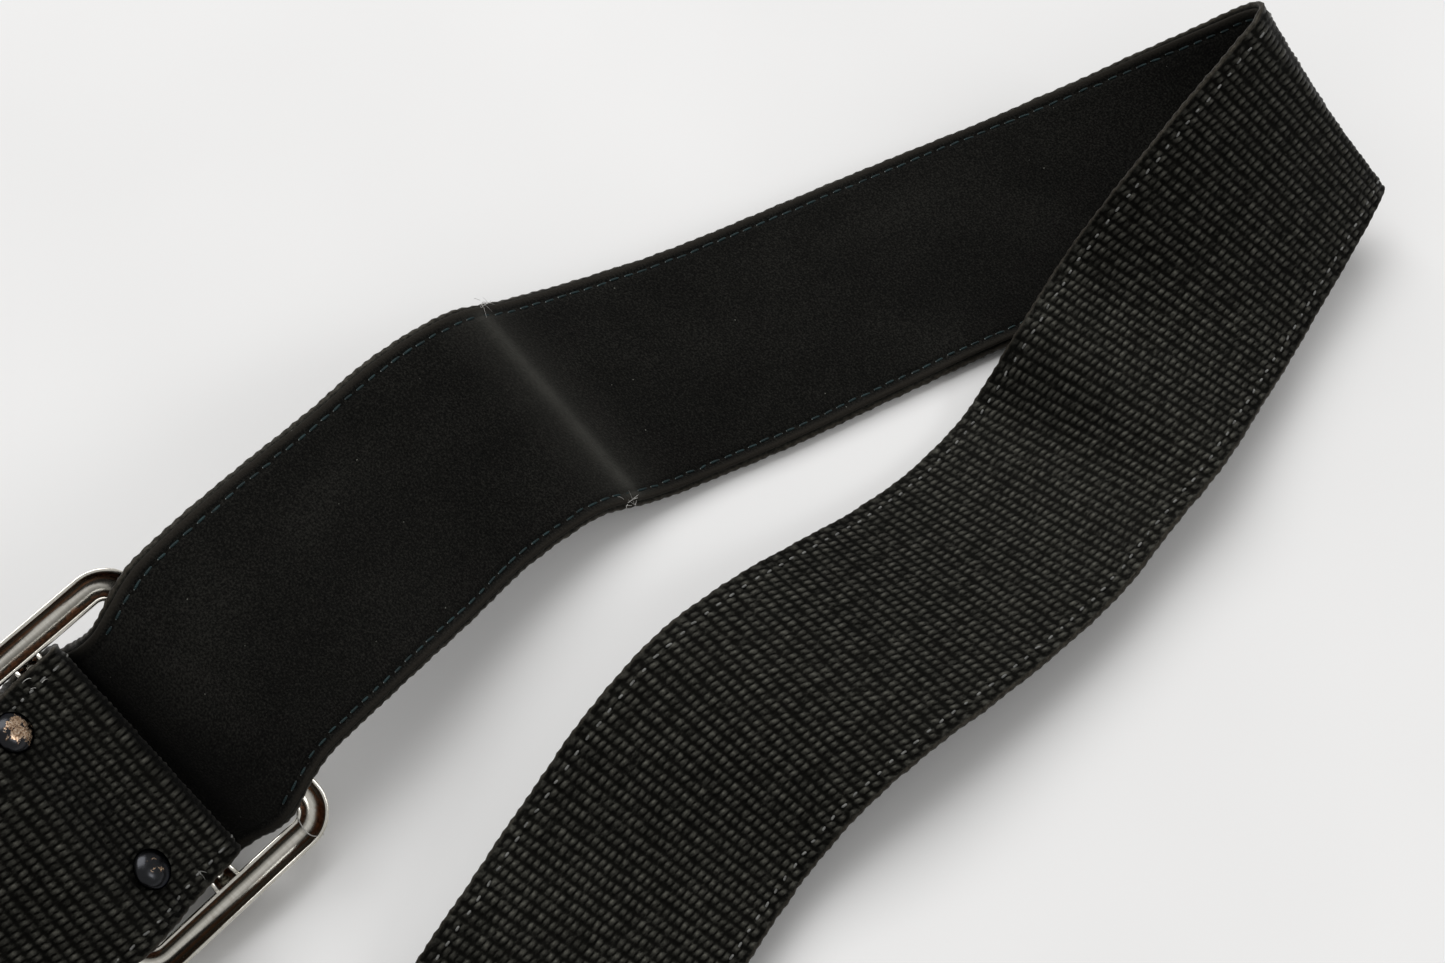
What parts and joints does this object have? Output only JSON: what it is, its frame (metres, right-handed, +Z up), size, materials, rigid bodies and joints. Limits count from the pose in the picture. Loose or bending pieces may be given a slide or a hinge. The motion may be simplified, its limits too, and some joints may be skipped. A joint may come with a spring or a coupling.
{
  "type": "dive weight belt",
  "caption": "Closed loop of heavy black webbing with a suede lining, threaded through a plated steel double-slot slide that is riveted into its folded end.",
  "frame": {"origin": "middle of the belt's outline, on the ground it lies on", "axes": "+Z up; the belt lies on its side; +X is to the right and +Y away from a viewer who sees the slide at the left"},
  "size_m": [0.3406, 0.3376, 0.0535],
  "materials": {
    "webbing": "woven nylon, dull sheen",
    "suede": "napped, matt",
    "thread": "waxed thread",
    "nickel": "worn nickel plate",
    "enamel": "gloss, worn through on top",
    "brass": "dull"
  },
  "bodies": {
    "strap": {"strap_webbing": "webbing", "strap_lining": "suede", "thread_webbing_upper": "thread", "thread_webbing_lower": "thread", "thread_lining_upper": "thread", "thread_lining_lower": "thread", "thread_fold_end": "thread", "thread_tail_end": "thread", "rivet_upper": "enamel", "rivet_lower": "enamel", "washer_upper": "brass", "washer_lower": "brass"},
    "buckle": {"buckle_frame": "nickel"}
  },
  "joints": [
    {"name": "buckle_pivot", "type": "hinge", "parent": "strap", "child": "buckle", "pos_m": [-0.08005, 0.00316, 0.02418], "axis": [-0.6091, 0.5557, 0.5658], "range_deg": [-1.5, 1]}
  ]
}
